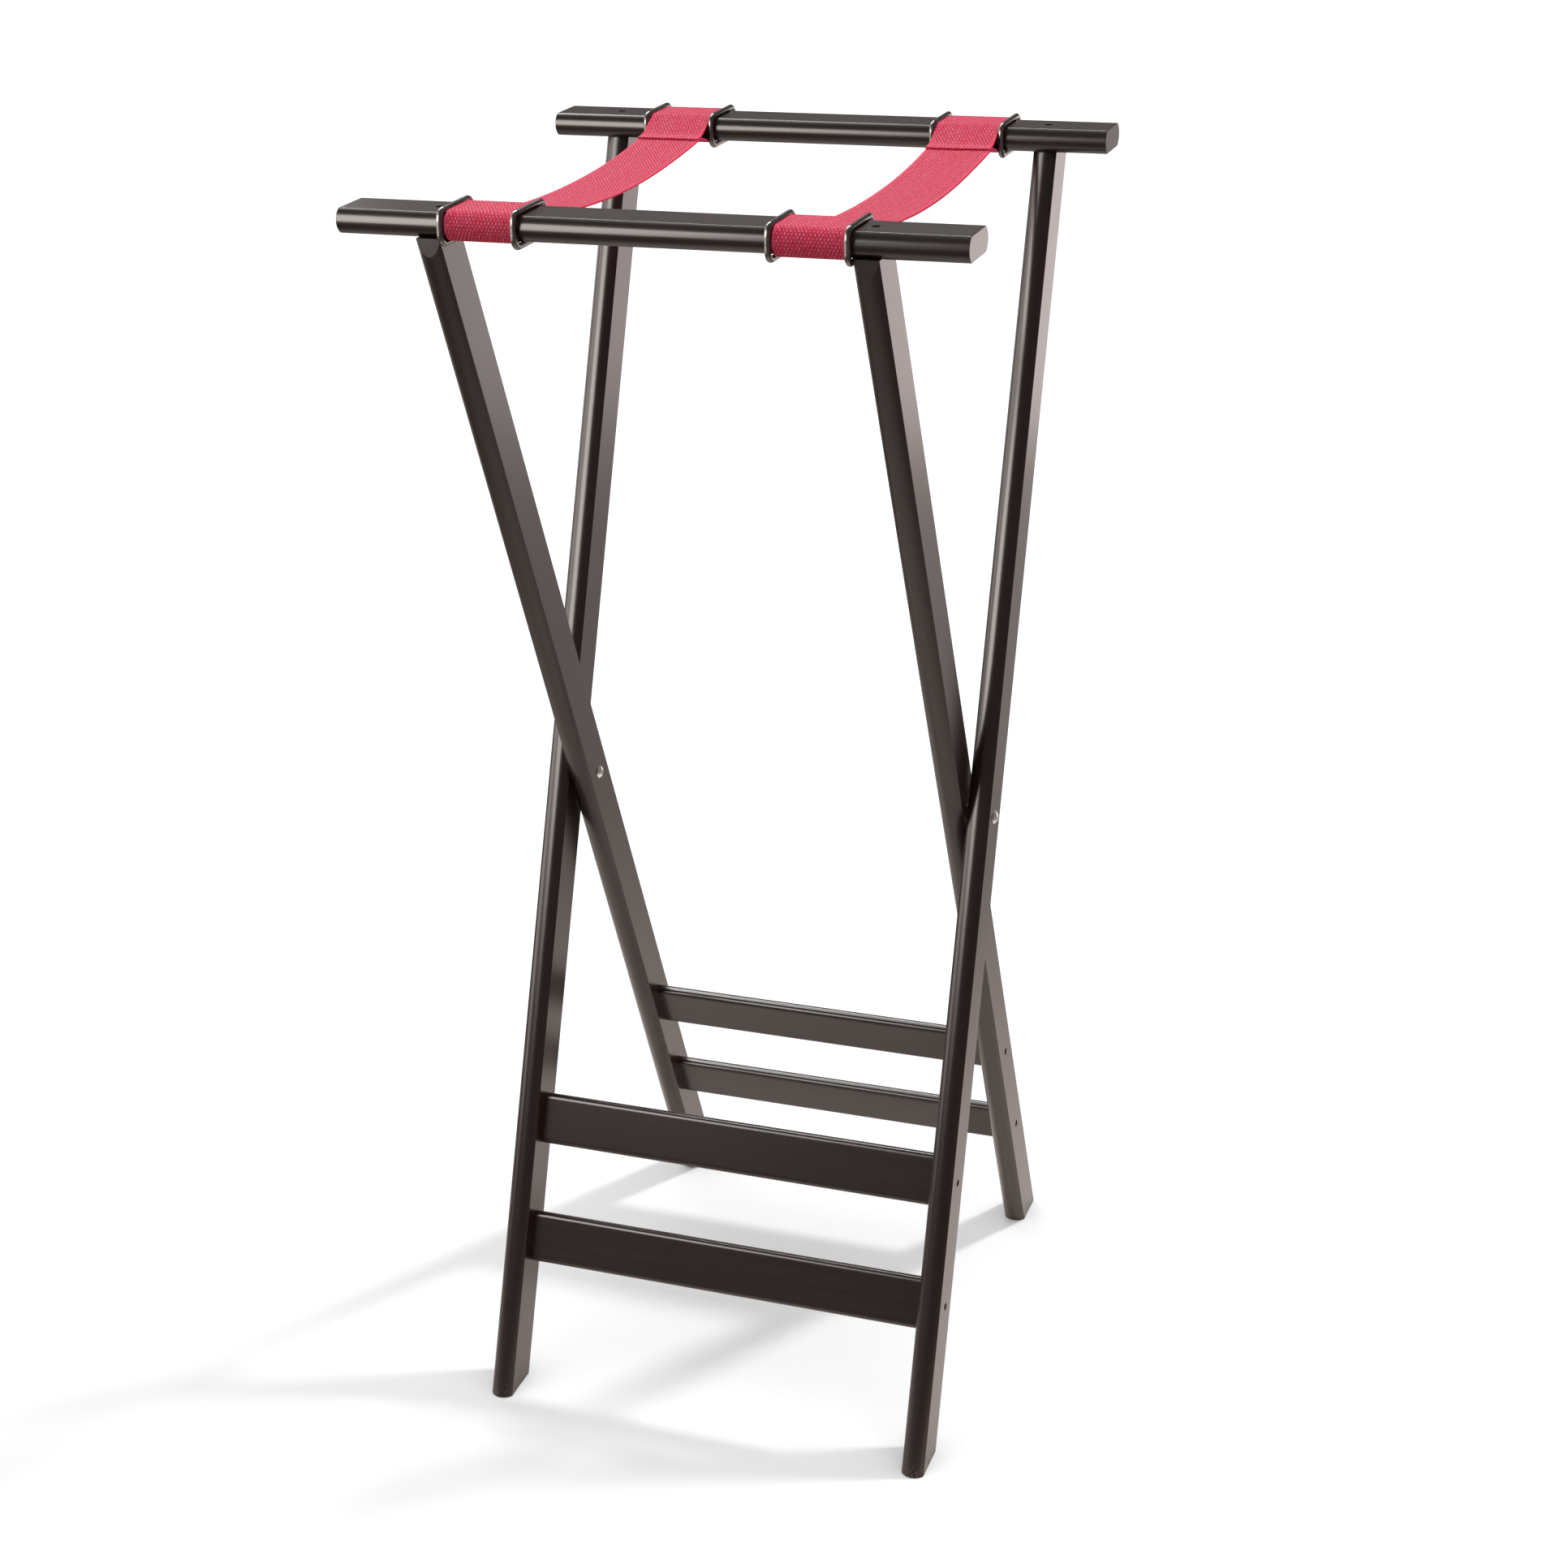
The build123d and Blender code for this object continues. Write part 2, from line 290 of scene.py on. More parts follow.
# %% Make the grain group
STREAK_STRETCH = 40
PORE_STRETCH = 28
PEEL_SIZE = 2.2 * MM
grain, grain_in, grain_out = new_group(
    "close_grain",
    {"Along X": ("vector", None), "Streak Width": ("number", 0.004), "Pore Width": ("number", 0.0005)},
    {"Streaks": "number", "Pores": "number", "Peel": "number"},
)


def stretched_noise(tree, vector, width, stretch, detail):
    """Noise whose cells are one width across and stretch times as long along X."""
    scale = maths(tree, "DIVIDE", 1.0, width)
    squeeze = {0: vector, 1: (1 / stretch, 1, 1)}
    squeezed = add_node(tree, "ShaderNodeVectorMath", squeeze, operation="MULTIPLY").outputs[0]
    inputs = {"Vector": squeezed, "Scale": scale, "Detail": detail, "Roughness": 0.55}
    return add_node(tree, "ShaderNodeTexNoise", inputs).outputs["Fac"]


streaks = stretched_noise(grain, grain_in["Along X"], grain_in["Streak Width"], STREAK_STRETCH, 4.0)
pores = stretched_noise(grain, grain_in["Along X"], grain_in["Pore Width"], PORE_STRETCH, 2.0)
peel = stretched_noise(grain, grain_in["Along X"], PEEL_SIZE, 1.2, 2.0)
grain.links.new(remap(grain, streaks, 0.32, 0.68), grain_out["Streaks"])
grain.links.new(remap(grain, pores, 0.56, 0.72), grain_out["Pores"])
grain.links.new(peel, grain_out["Peel"])
print("grain group outputs:", [s.name for s in grain.interface.items_tree if s.in_out == "OUTPUT"])

# %% Mix the lacquer
DEEP_ESPRESSO = (0.0120, 0.0046, 0.0034, 1)
WARM_ESPRESSO = (0.0185, 0.0080, 0.0058, 1)
SCUFF = (0.060, 0.043, 0.034, 1)
SCUFF_HEIGHT = 12 * MM
LACQUER_ROUGHNESS = (0.275, 0.29)
SAWN_ROUGHNESS = 0.55
LACQUER_BUMP = 0.05 * MM


def lacquer(name, turn_about_x=0.0, along="X", dull_ends=0.0):
    """Espresso lacquer with grain along X, or along Z up a leg that leans by turn_about_x."""
    material, tree, shader = new_material(name, Roughness=0.3, Coat_Weight=0.3, Coat_Roughness=0.21)
    place = add_node(tree, "ShaderNodeTexCoord").outputs["Object"]
    turn = (0, 0, 0) if along == "X" else (turn_about_x, 0, 0)
    upright = add_node(tree, "ShaderNodeMapping", {"Vector": place, "Rotation": turn}).outputs[0]
    if along == "Z":
        part = add_node(tree, "ShaderNodeSeparateXYZ", {"Vector": upright}).outputs
        swap = {"X": part["Z"], "Y": part["Y"], "Z": part["X"]}
        upright = add_node(tree, "ShaderNodeCombineXYZ", swap).outputs[0]
    wood = use_group(tree, grain, {"Along X": upright})
    tone = blend_colours(tree, wood["Streaks"], DEEP_ESPRESSO, WARM_ESPRESSO)
    tone = blend_colours(tree, maths(tree, "MULTIPLY", wood["Pores"], 0.5), tone, DEEP_ESPRESSO)
    height = add_node(tree, "ShaderNodeSeparateXYZ", {"Vector": place}).outputs["Z"]
    low = remap(tree, height, 0.0, SCUFF_HEIGHT, 1.0, 0.0)
    scuffed = maths(tree, "MULTIPLY", low, remap(tree, wood["Peel"], 0.5, 0.62))
    tone = blend_colours(tree, scuffed, tone, SCUFF)
    tree.links.new(tone, shader.inputs["Base Color"])
    rough = remap(tree, wood["Streaks"], 0.0, 1.0, *LACQUER_ROUGHNESS)
    rough = maths(tree, "ADD", rough, maths(tree, "MULTIPLY", wood["Pores"], 0.02))
    rough = maths(tree, "ADD", rough, maths(tree, "MULTIPLY", scuffed, 0.3))
    facing = add_node(tree, "ShaderNodeNewGeometry").outputs["Normal"]
    sideways = add_node(tree, "ShaderNodeSeparateXYZ", {"Vector": facing}).outputs["X"]
    sawn_end = remap(tree, maths(tree, "ABSOLUTE", sideways), 0.8, 0.95, 0.0, dull_ends)
    rough = maths(tree, "ADD", rough, maths(tree, "MULTIPLY", sawn_end, SAWN_ROUGHNESS), clamp=True)
    tree.links.new(rough, shader.inputs["Roughness"])
    relief = maths(tree, "SUBTRACT", maths(tree, "MULTIPLY", wood["Peel"], 0.5), wood["Pores"])
    bump = {"Height": relief, "Strength": 0.03, "Distance": LACQUER_BUMP}
    bumped = add_node(tree, "ShaderNodeBump", bump).outputs[0]
    tree.links.new(bumped, shader.inputs["Normal"])
    return material


rail_low, rail_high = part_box("outer_rail")
leg_low, leg_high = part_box("outer_leg_right")
LEG_HALF_WIDTH = 20 * MM
leg_lean = atan2(leg_high.y - leg_low.y - 2 * LEG_HALF_WIDTH, leg_high.z - leg_low.z)
finish_front_bars = lacquer("espresso_lacquer_front_bars")
finish_back_bars = lacquer("espresso_lacquer_back_bars", dull_ends=1.0)
finish_up_outer = lacquer("espresso_lacquer_outer_legs", leg_lean, "Z")
finish_up_inner = lacquer("espresso_lacquer_inner_legs", -leg_lean, "Z")
print("legs lean about", round(degrees(leg_lean), 1), "degrees")

# %% [markdown]
# ## Metal finishes
# The keepers are bent from nickel-plated wire that looks almost black where it faces the dim side of
# the room and white where it faces a lamp. The pivot hardware is plain zinc-plated steel, brighter
# and a little rougher. The wood screws deep in their counterbores get a very dark steel colour, which
# is painted shade for the counterbores. One group gives all of them fine drawn scratches and a faint
# uneven tarnish.

# %% Make the metals
TARNISH_SIZE = 6 * MM
SCRATCH_DEPTH = 0.02 * MM
plating, plating_in, plating_out = new_group(
    "plating",
    {"Place": ("vector", None), "Speckle Size": ("number", 0.0008)},
    {"Tarnish": "number", "Scratches": "number"},
)
cloud = stretched_noise(plating, plating_in["Place"], TARNISH_SIZE, 1, 3.0)
hairs = stretched_noise(plating, plating_in["Place"], plating_in["Speckle Size"], 6, 3.0)
plating.links.new(remap(plating, cloud, 0.35, 0.7), plating_out["Tarnish"])
plating.links.new(hairs, plating_out["Scratches"])


def plated(name, clean, dull, roughness, speckle):
    """A plated metal that varies between a clean and a dull colour."""
    material, tree, shader = new_material(name, Metallic=1.0)
    place = add_node(tree, "ShaderNodeTexCoord").outputs["Object"]
    marks = use_group(tree, plating, {"Place": place, "Speckle Size": speckle})
    colour = blend_colours(tree, marks["Tarnish"], clean, dull)
    tree.links.new(colour, shader.inputs["Base Color"])
    rough = remap(tree, marks["Scratches"], 0.3, 0.7, roughness * 0.7, roughness * 1.4)
    tree.links.new(rough, shader.inputs["Roughness"])
    relief = {"Height": marks["Scratches"], "Strength": 0.04, "Distance": SCRATCH_DEPTH}
    bump = add_node(tree, "ShaderNodeBump", relief)
    tree.links.new(bump.outputs[0], shader.inputs["Normal"])
    return material


NICKEL = ((0.22, 0.21, 0.20, 1), (0.15, 0.14, 0.13, 1))
ZINC = ((0.97, 0.96, 0.94, 1), (0.84, 0.83, 0.80, 1))
# Painted shade: the screws' steel is made very dark for the shade deep in their counterbores.
SCREW_STEEL_PAINTED_SHADE = ((0.11, 0.10, 0.09, 1), (0.06, 0.055, 0.05, 1))
nickel_wire = plated("nickel_wire", *NICKEL, 0.27, 0.6 * MM)
zinc_steel = plated("zinc_steel", *ZINC, 0.34, 0.5 * MM)
screw_steel = plated("screw_steel", *SCREW_STEEL_PAINTED_SHADE, 0.35, 0.4 * MM)
print("metals:", [metal.name for metal in (nickel_wire, zinc_steel, screw_steel)])

# %% [markdown]
# ## Dressing the design's pieces
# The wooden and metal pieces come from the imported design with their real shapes, so they only need a
# finish. Their names say what they are. Both rails and all the slats have their grain along X. The
# legs have theirs up the leg, and the two frames lean opposite ways.

# %% Dress the carried-over pieces
def finish_for(node):
    """The finish of a wooden or metal piece, from its name."""
    if "ring" in node:
        return nickel_wire
    if "screws" in node:
        return screw_steel
    if "pivot" in node:
        return zinc_steel
    if "leg" in node:
        return finish_up_outer if node.startswith("outer") else finish_up_inner
    return finish_back_bars if node == "outer_rail" else finish_front_bars


dressed = 0
for node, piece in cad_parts.items():
    if "strap" in node:
        continue
    piece.data.materials.clear()
    piece.data.materials.append(finish_for(node))
    dressed += 1
print(dressed, "pieces have a finish")

# %% [markdown]
# ## The straps
# Each strap is one length of flat webbing, cut square and heat sealed. It lies across the rack with a
# slight sag. At each rail it passes under, comes up round the bowed side, over the top, and down
# again to lie on itself, where it is sewn. The loop is a teardrop, because the tail and the span
# meet a little inside the rail. The line is drawn first, from the middle out to one cut end. Then it
# is mirrored, rounded at its corners and measured, which gives the length that the webbing is cut to.

# %% Draw the strap's line
STRAP_THICK = 1.6 * MM
STRAP_CLEARANCE = 0.3 * MM
SAG_BELOW_TOP = 21.9 * MM
SAG_CURVE = 0.457
TOUCHING_INSIDE = 16.9 * MM
TAIL_INSIDE = 27.9 * MM
RAIL_BOW = 5.8 * MM
LAP_HEIGHT = STRAP_THICK + 0.02 * MM
LINE_STEP = 0.25 * MM
SOFTNESS = 1.1 * MM

half_thick = STRAP_THICK / 2
off_wood = STRAP_CLEARANCE + half_thick
rail_outer_y = rail_high.y
rail_inner_y = rail_low.y
rail_middle_z = (rail_low.z + rail_high.z) / 2
rail_half_z = (rail_high.z - rail_low.z) / 2
bow_radius = (rail_half_z**2 + RAIL_BOW**2) / (2 * RAIL_BOW)
bow_centre_y = rail_outer_y - bow_radius
flat_inner_y = rail_inner_y + RAIL_BOW
touching_y = rail_inner_y - TOUCHING_INSIDE
tail_end_y = rail_inner_y - TAIL_INSIDE


def sagging(y):
    """Height of the middle of the webbing's thickness on the span between the rails."""
    return rail_high.z - SAG_BELOW_TOP + SAG_CURVE * y * y


def half_line():
    """Corner points of the strap's line, as distance from the middle and height."""
    points = [(y, sagging(y)) for y in np.linspace(0, touching_y - 2 * MM, 60)]
    points += [(flat_inner_y, rail_low.z - off_wood), (rail_outer_y - RAIL_BOW, rail_low.z - off_wood)]
    widest = asin(rail_half_z / bow_radius)
    for angle in np.linspace(-widest, widest, 24):
        out = bow_radius + off_wood
        points.append((bow_centre_y + out * cos(angle), rail_middle_z + out * sin(angle)))
    points.append((rail_outer_y - RAIL_BOW, rail_high.z + off_wood))
    points.append((flat_inner_y - 0.3 * MM, rail_high.z + off_wood))
    points += [(y, sagging(y) + LAP_HEIGHT) for y in np.linspace(touching_y, tail_end_y, 8)]
    return np.array(points)


# %% Round the line and measure it
def evenly(points, step):
    """Points a step apart along a line, measured round its corners."""
    run = np.concatenate([[0], np.cumsum(np.linalg.norm(np.diff(points, axis=0), axis=1))])
    at = np.linspace(0, run[-1], int(run[-1] / step) + 1)
    return np.column_stack([np.interp(at, run, points[:, k]) for k in (0, 1)])


def whole_line():
    """The line of a whole strap from the front cut end to the back one, as (y, z) points."""
    half = half_line()
    line = evenly(np.vstack([half[::-1] * (-1, 1), half[1:]]), LINE_STEP)
    reach = int(3 * SOFTNESS / LINE_STEP)
    weights = np.exp(-0.5 * (np.arange(-reach, reach + 1) * LINE_STEP / SOFTNESS) ** 2)
    before = line[0] + (line[0] - line[reach:0:-1])
    after = line[-1] + (line[-1] - line[-2 : -reach - 2 : -1])
    padded = np.vstack([before, line, after])
    soft = [np.convolve(padded[:, k], weights / weights.sum(), "valid") for k in (0, 1)]
    return evenly(np.column_stack(soft), LINE_STEP)


strap_line = whole_line()
strap_length = LINE_STEP * (len(strap_line) - 1)
strap_run = np.linspace(0, strap_length, len(strap_line))
along_line = np.gradient(strap_line, LINE_STEP, axis=0)
along_line /= np.linalg.norm(along_line, axis=1)[:, None]
print("each strap is cut", round(strap_length / MM, 1), "mm long")

# %% [markdown]
# The webbing is cut flat as a grid, its columns close together at the selvedges, and then every point
# is carried to its place on the line. The selvedge keeps the small scallops of the turning yarn, the
# span has a slight waviness, and the cut ends are a little ragged. Solidify gives the thickness.

# %% Cut a strap flat
STRAP_WIDTH = 50.8 * MM
YARN_ROW = 2.3 * MM
EDGE_COLUMNS_MM = (0.0, 0.5, 1.3, 2.6)
MIDDLE_COLUMNS = 12
half_width_mm = STRAP_WIDTH / 2 / MM
left_columns = [edge - half_width_mm for edge in EDGE_COLUMNS_MM]
middle = np.linspace(left_columns[-1], -left_columns[-1], MIDDLE_COLUMNS + 2)[1:-1]
columns = np.array(left_columns + list(middle) + [-c for c in left_columns[::-1]]) * MM
last_column = len(columns) - 1
rows = int(strap_length / (YARN_ROW / 2))


def flat_grid(name):
    """A flat grid, with the column and row of each of its points. Its UV map is in metres."""
    deselect_all()
    bpy.ops.mesh.primitive_grid_add(x_subdivisions=last_column, y_subdivisions=rows, size=1)
    strap = bpy.context.object
    strap.name = name
    mesh = strap.data
    flat = np.empty(3 * len(mesh.vertices))
    mesh.vertices.foreach_get("co", flat)
    flat = flat.reshape(-1, 3)
    column = np.rint((flat[:, 0] + 0.5) * last_column).astype(int)
    row = np.rint((flat[:, 1] + 0.5) * rows).astype(int)
    layer = mesh.uv_layers.active.data
    uv = np.empty(2 * len(layer))
    layer.foreach_get("uv", uv)
    uv = uv.reshape(-1, 2) * (1, strap_length)
    uv[:, 0] = columns[np.rint(uv[:, 0] * last_column).astype(int)] + STRAP_WIDTH / 2
    layer.foreach_set("uv", uv.ravel())
    return strap, column, row


print("a strap's grid has", last_column, "columns and", rows, "rows of faces")

# %% Carry the grid to the line
SCALLOP = 0.11 * MM
CUT_REACH = 8 * MM
RAGGED_MM = (-0.25, 0.15)
WAVE_LENGTH = 37 * MM
WAVE_HEIGHT = 0.9 * MM
WAVE_FROM_LAP = 6 * MM
WAVE_FADE = 40 * MM


def lay_on_line(column, row, x, skew, chance):
    """Where the grid's points go. skew is how far the cut ends slant across the width."""
    wave_phase = chance.uniform(0, 2 * pi)
    ragged = np.array([chance.uniform(*RAGGED_MM) for _ in columns]) * MM
    across = columns[column]
    tilt = across / STRAP_WIDTH
    run = row / rows * strap_length
    end_share = np.clip(1 - np.minimum(run, strap_length - run) / CUT_REACH, 0, 1)
    end_side = np.where(run < strap_length / 2, 1, -1)
    run_there = run + end_side * end_share * (skew * across / STRAP_WIDTH)
    run_there += np.where((row == 0) | (row == rows), -end_side * ragged[column], 0)
    run_there = np.clip(run_there, 0, strap_length)
    y, z = (np.interp(run_there, strap_run, strap_line[:, k]) for k in (0, 1))
    along_y, along_z = (np.interp(run_there, strap_run, along_line[:, k]) for k in (0, 1))
    on_span = np.clip((tail_end_y - WAVE_FROM_LAP - np.abs(y)) / WAVE_FADE, 0, 1)
    wave = np.sin(run / WAVE_LENGTH + wave_phase) * tilt * 0.5 + 0.3 * tilt**2
    lift = on_span * wave * WAVE_HEIGHT
    at_edge = (column == 0) | (column == last_column)
    scallop = at_edge * np.sign(across) * np.where(row % 2 == 0, 0.0, SCALLOP)
    return np.column_stack([x + across + scallop, y - lift * along_z, z + lift * along_y])


# %% Give the webbing its thickness
SELVEDGE_RADIUS = 0.42 * MM


def thicken(strap):
    """Turn a surface into webbing with softened edges, its outside facing out."""
    bpy.ops.object.mode_set(mode="EDIT")
    bpy.ops.mesh.select_all(action="SELECT")
    bpy.ops.mesh.normals_make_consistent(inside=False)
    bpy.ops.object.mode_set(mode="OBJECT")
    thickness = strap.modifiers.new("thickness", "SOLIDIFY")
    thickness.thickness = STRAP_THICK
    thickness.offset = 0
    bpy.ops.object.modifier_apply(modifier=thickness.name)
    selvedge = strap.modifiers.new("selvedge", "BEVEL")
    selvedge.width = SELVEDGE_RADIUS
    selvedge.segments = 3
    selvedge.limit_method = "ANGLE"
    selvedge.angle_limit = radians(60)
    bpy.ops.object.modifier_apply(modifier=selvedge.name)
    bpy.ops.object.shade_smooth()


def lay_strap(name, x, skew, seed):
    """One strap, centred on x."""
    strap, column, row = flat_grid(name)
    placed = lay_on_line(column, row, x, skew, random.Random(seed))
    strap.data.vertices.foreach_set("co", placed.ravel())
    strap.data.update()
    thicken(strap)
    return strap


strap_places = {}
for hand in ("left", "right"):
    low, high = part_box(f"strap_{hand}")
    strap_places[hand] = (low.x + high.x) / 2
webbing_left = lay_strap("webbing_strap_left", strap_places["left"], 0.4 * MM, 11)
webbing_right = lay_strap("webbing_strap_right", strap_places["right"], 3.2 * MM, 12)
print("faces on one strap:", len(webbing_left.data.polygons))

# %% [markdown]
# ## Rose webbing
# The webbing is a tight plain weave of thick nylon yarn. Each warp yarn shows as a short bright dash
# where it passes over, and as a dark gap where it dives under, and neighbours take turns, so the
# dashes stand in a checker pattern. The darkening down the sides of each dash and into the gaps is
# painted shade, and a few random dashes carry a painted glint. The weave is drawn from the webbing's
# own flat coordinates, in metres, so the yarns follow every bend. Both straps share it.

# %% Make the weave group
WARP_PITCH = 1.337 * MM
FUZZ_SIZE = 0.25 * MM
FADED_SIZE = 2.2 * MM
weave, weave_in, weave_out = new_group(
    "plain_weave",
    {
        "Flat Place": ("vector", None),
        "Across Pitch": ("number", WARP_PITCH),
        "Along Pitch": ("number", YARN_ROW),
    },
    {"Height": "number", "Yarn Tone And Glint": "number", "Fuzz": "number", "Fading": "number"},
)
flat_place = add_node(weave, "ShaderNodeSeparateXYZ", {"Vector": weave_in["Flat Place"]}).outputs
across_count = maths(weave, "DIVIDE", flat_place["X"], weave_in["Across Pitch"])
along_count = maths(weave, "DIVIDE", flat_place["Y"], weave_in["Along Pitch"])
across_cell = maths(weave, "FLOOR", across_count)
along_cell = maths(weave, "FLOOR", along_count)


def from_centre(count, cell):
    """Where a point is in its cell, from -0.5 to 0.5."""
    return maths(weave, "SUBTRACT", maths(weave, "SUBTRACT", count, cell), 0.5)


def crown(offset, narrowness, power):
    """1 along the middle of a yarn, rounding off to 0 at its sides."""
    to_side = maths(weave, "ABSOLUTE", maths(weave, "MULTIPLY", offset, narrowness))
    return maths(weave, "SUBTRACT", 1.0, maths(weave, "POWER", to_side, power), clamp=True)


from_side = from_centre(across_count, across_cell)
from_end = from_centre(along_count, along_cell)
over = maths(weave, "MODULO", maths(weave, "ADD", across_cell, along_cell), 2.0)
over = maths(weave, "ABSOLUTE", over)
leaning = maths(weave, "ADD", from_side, maths(weave, "MULTIPLY", from_end, 0.22))
side_round = crown(leaning, 2.2, 2.0)
end_round = crown(from_end, 2.0, 2.4)
dash = maths(weave, "MULTIPLY", maths(weave, "MULTIPLY", side_round, end_round), over)
diving = maths(weave, "SUBTRACT", 1.0, over)
under = maths(weave, "MULTIPLY", maths(weave, "MULTIPLY", side_round, 0.30), diving)
yarn_height = maths(weave, "ADD", dash, under)
cell_place = add_node(weave, "ShaderNodeCombineXYZ", {"X": across_cell, "Y": along_cell}).outputs[0]
cell_noise = add_node(weave, "ShaderNodeTexWhiteNoise", {"Vector": cell_place}, noise_dimensions="2D")
column_noise = add_node(weave, "ShaderNodeTexWhiteNoise", {"W": across_cell}, noise_dimensions="1D")
# Each warp yarn has its own tone. Painted glint: a few random dashes are pushed towards the pale rose as
# if catching a lamp.
tone_and_glint = maths(weave, "MULTIPLY", column_noise.outputs["Value"], 0.35)
glint = maths(weave, "POWER", cell_noise.outputs["Value"], 2.0)
tone_and_glint = maths(weave, "ADD", tone_and_glint, maths(weave, "MULTIPLY", glint, 0.75), clamp=True)
fuzz_noise = stretched_noise(weave, weave_in["Flat Place"], FUZZ_SIZE, 1, 2.0)
fading = stretched_noise(weave, weave_in["Flat Place"], FADED_SIZE, 1, 3.0)
weave.links.new(remap(weave, fading, 0.36, 0.64), weave_out["Fading"])
weave.links.new(yarn_height, weave_out["Height"])
weave.links.new(tone_and_glint, weave_out["Yarn Tone And Glint"])
weave.links.new(fuzz_noise, weave_out["Fuzz"])
print("yarns across the webbing:", round(STRAP_WIDTH / WARP_PITCH))

# %% Dye the webbing and paint the shade and glints of its weave
ROSE_YARN = (0.990, 0.062, 0.145, 1)
ROSE_LIT = (1.000, 0.250, 0.400, 1)
ROSE_PAINTED_SHADE = (0.480, 0.008, 0.034, 1)
ROSE_EDGE = (0.900, 0.060, 0.140, 1)
ROSE_SHEEN = (1.0, 0.62, 0.70, 1)
SELVEDGE_START = STRAP_WIDTH / 2 - 2.6 * MM
SELVEDGE_FULL = STRAP_WIDTH / 2 - 2.1 * MM
WEAVE_BUMP = 0.35 * MM


def rose_webbing(name, length):
    """Woven rose webbing with a plain selvedge, for a strap of a given length, with painted shade in its
    weave and at its cut ends.
    """
    material, tree, shader = new_material(name, Roughness=0.7, Sheen_Weight=0.06, Sheen_Roughness=0.45)
    shader.inputs["Sheen Tint"].default_value = ROSE_SHEEN
    shader.inputs["Specular IOR Level"].default_value = 0.12
    place = add_node(tree, "ShaderNodeUVMap", uv_map="UVMap").outputs[0]
    woven = use_group(tree, weave, {"Flat Place": place})
    lit = blend_colours(tree, woven["Yarn Tone And Glint"], ROSE_YARN, ROSE_LIT)
    # Painted shade: the colour darkens with the yarn's height, from the yarn colour on the crowns of the
    # dashes to a deep red in the gaps.
    colour = blend_colours(tree, remap(tree, woven["Height"], 0.12, 0.72), ROSE_PAINTED_SHADE, lit)
    part = add_node(tree, "ShaderNodeSeparateXYZ", {"Vector": place}).outputs
    from_middle = maths(tree, "ABSOLUTE", maths(tree, "SUBTRACT", part["X"], STRAP_WIDTH / 2))
    selvedge = remap(tree, from_middle, SELVEDGE_START, SELVEDGE_FULL)
    colour = blend_colours(tree, maths(tree, "MULTIPLY", selvedge, 0.55), colour, ROSE_EDGE)
    # Painted shade: the webbing darkens within a millimetre of each cut end, where the end of the tail
    # steps down onto the span.
    from_cut = maths(tree, "MINIMUM", part["Y"], maths(tree, "SUBTRACT", length, part["Y"]))
    lap_step_shade = remap(tree, from_cut, 0.2 * MM, 0.8 * MM, 0.15, 0.0)
    colour = blend_colours(tree, lap_step_shade, colour, ROSE_PAINTED_SHADE)
    faded = remap(tree, woven["Fading"], 0.0, 1.0, 0.74, 1.14)
    fuzz = maths(tree, "MULTIPLY", remap(tree, woven["Fuzz"], 0.3, 0.7, 0.86, 1.04), faded)
    shade = add_node(tree, "ShaderNodeVectorMath", {0: colour, 1: fuzz}, operation="MULTIPLY").outputs[0]
    tree.links.new(shade, shader.inputs["Base Color"])
    rough = remap(tree, woven["Height"], 0.2, 0.9, 0.78, 0.52)
    tree.links.new(rough, shader.inputs["Roughness"])
    relief = maths(tree, "ADD", woven["Height"], maths(tree, "MULTIPLY", woven["Fuzz"], 0.12))
    bump = add_node(tree, "ShaderNodeBump", {"Height": relief, "Strength": 0.55, "Distance": WEAVE_BUMP})
    tree.links.new(bump.outputs[0], shader.inputs["Normal"])
    return material


strap_cloth = rose_webbing("rose_webbing", strap_length)
for strap, hand in ((webbing_left, "left"), (webbing_right, "right")):
    strap.data.materials.append(strap_cloth)
    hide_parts(f"strap_{hand}")

# %% [markdown]
# ## Sewn laps
# Two rows of lock stitch in matching thread hold each tail down. A stitch is a short round thread
# whose ends dive into the cloth.

# %% Sew the laps
STITCH_LENGTH = 2.5 * MM
THREAD_RADIUS = 0.24 * MM
STITCH_ROWS = (2.4 * MM, 6.4 * MM)
STITCHES_PER_ROW = 17
STITCH_PITCH = 2.75 * MM
STITCH_LIFT = 0.02 * MM
PLY_SIZE = 0.4 * MM

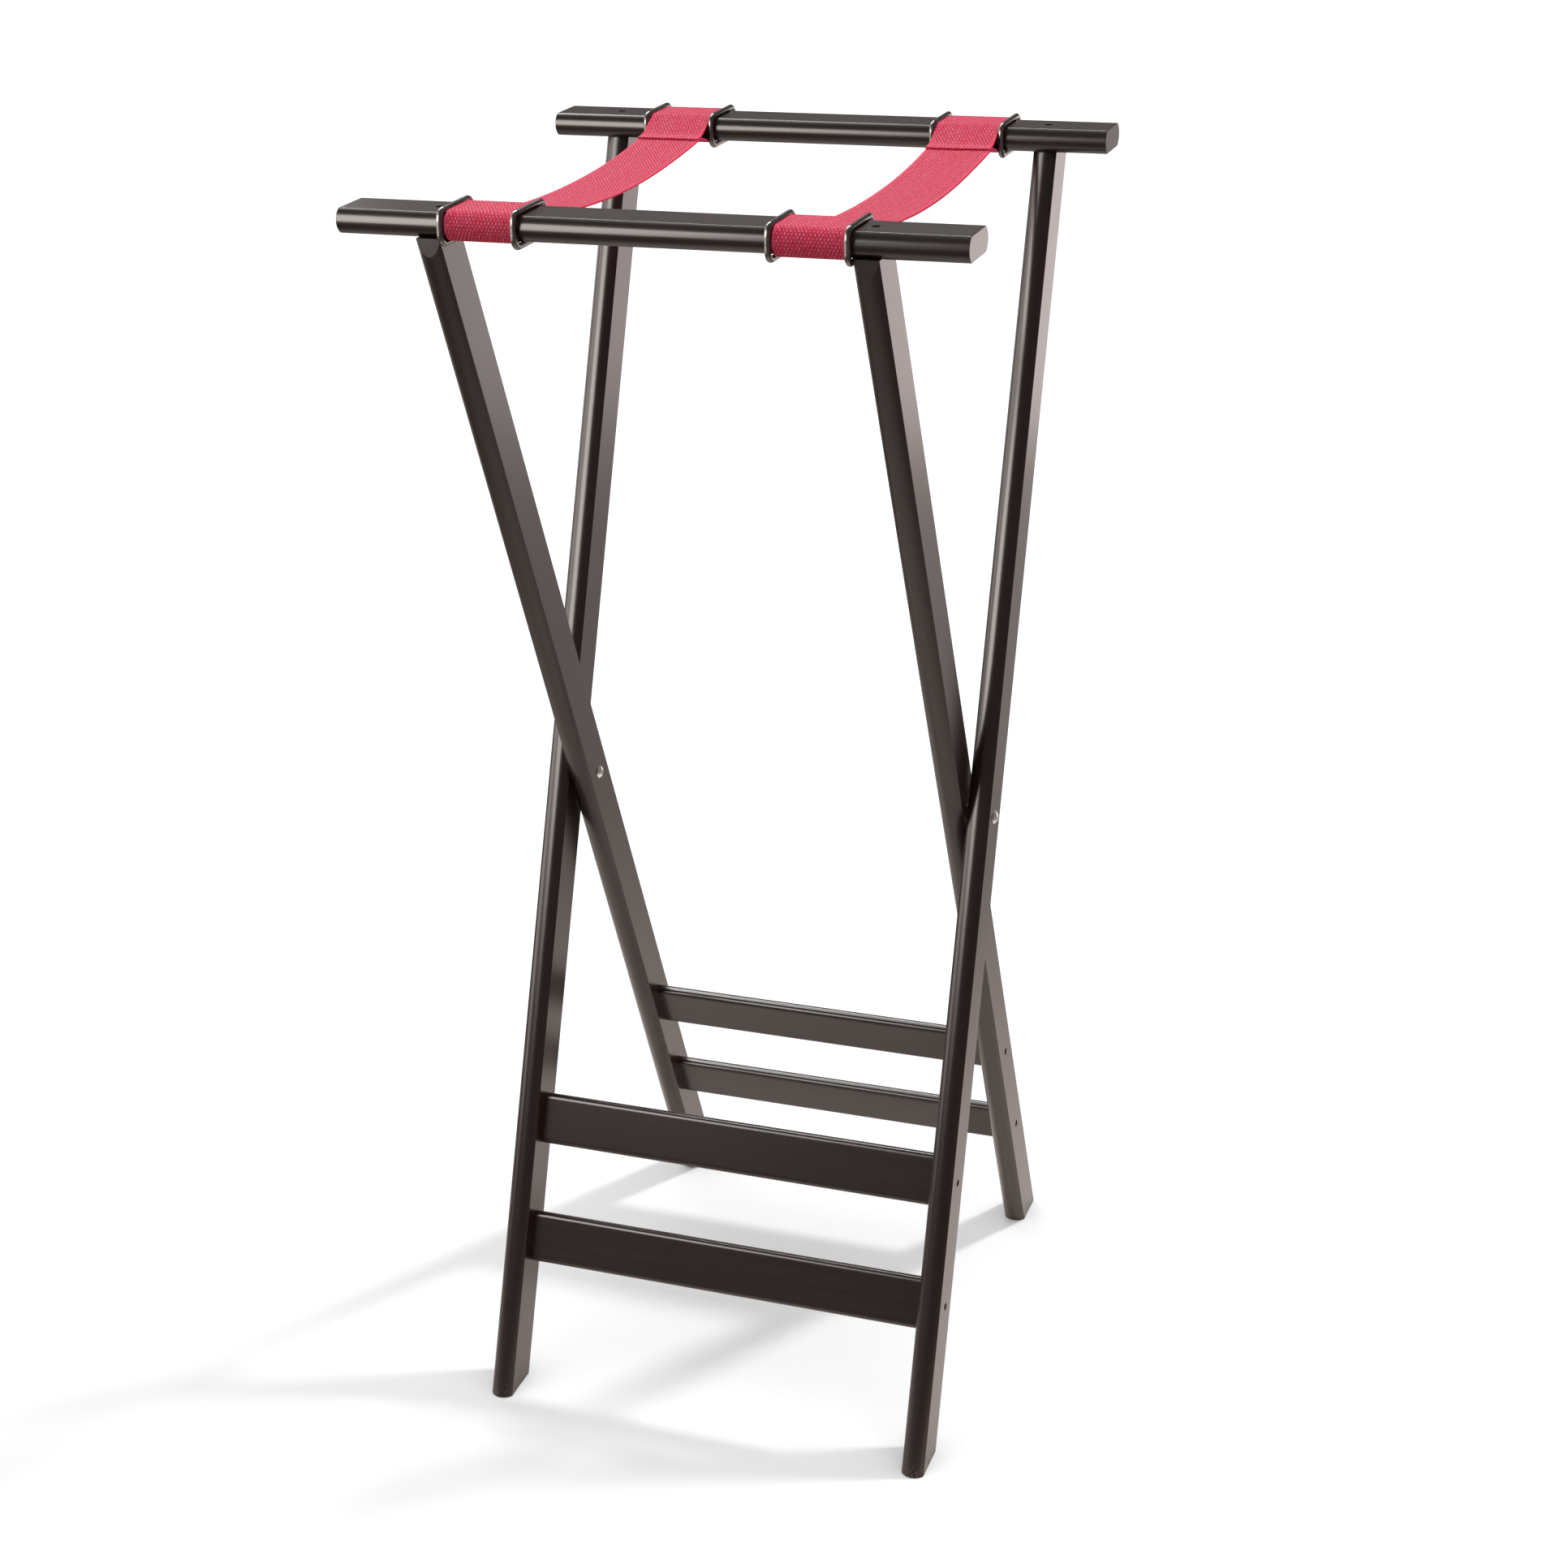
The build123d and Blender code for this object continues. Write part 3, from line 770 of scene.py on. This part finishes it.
thread_cloth, thread_tree, thread_shader = new_material("rose_thread", Roughness=0.5, Sheen_Weight=0.2)
thread_place = add_node(thread_tree, "ShaderNodeTexCoord").outputs["Object"]
thread_ply = stretched_noise(thread_tree, thread_place, PLY_SIZE, 3, 2.0)
thread_twist = remap(thread_tree, thread_ply, 0.35, 0.65)
thread_colour = blend_colours(thread_tree, thread_twist, ROSE_EDGE, ROSE_LIT)
thread_tree.links.new(thread_colour, thread_shader.inputs["Base Color"])


def sew_lap(name, x, side, body):
    """Two rows of stitches across the lap at one end of a strap. side is +1 at the back rail."""
    stitches = []
    for from_end in STITCH_ROWS:
        run = strap_length - from_end if side > 0 else from_end
        y = float(np.interp(run, strap_run, strap_line[:, 0]))
        z = float(np.interp(run, strap_run, strap_line[:, 1])) + half_thick
        for count in range(STITCHES_PER_ROW):
            across = (count - (STITCHES_PER_ROW - 1) / 2) * STITCH_PITCH
            deselect_all()
            place = (x + across, y, z + STITCH_LIFT)
            size = {"segments": 10, "ring_count": 8, "radius": THREAD_RADIUS}
            bpy.ops.mesh.primitive_uv_sphere_add(location=place, **size)
            bpy.ops.transform.resize(value=(STITCH_LENGTH / 2 / THREAD_RADIUS, 1.0, 0.9))
            stitches.append(bpy.context.object)
    deselect_all()
    for stitch in stitches:
        stitch.select_set(True)
    bpy.context.view_layer.objects.active = stitches[0]
    bpy.ops.object.join()
    bpy.ops.object.transform_apply(location=True, rotation=True, scale=True)
    bpy.ops.object.shade_smooth()
    seam = bpy.context.object
    seam.name = name
    seam.data.materials.append(thread_cloth)
    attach(seam, body)
    return seam


for hand in ("left", "right"):
    sew_lap(f"seam_{hand}_front", strap_places[hand], -1, "inner_frame")
    sew_lap(f"seam_{hand}_back", strap_places[hand], 1, "outer_frame")
deselect_all()

# %% [markdown]
# ## The straps' placement
# The rack folds about its pivot bolts, and a strap is sewn round a rail of each frame. Each strap's
# placement is baked into its mesh.

# %% Bake each strap's place into its mesh
for strap, hand in ((webbing_left, "left"), (webbing_right, "right")):
    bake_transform(strap)
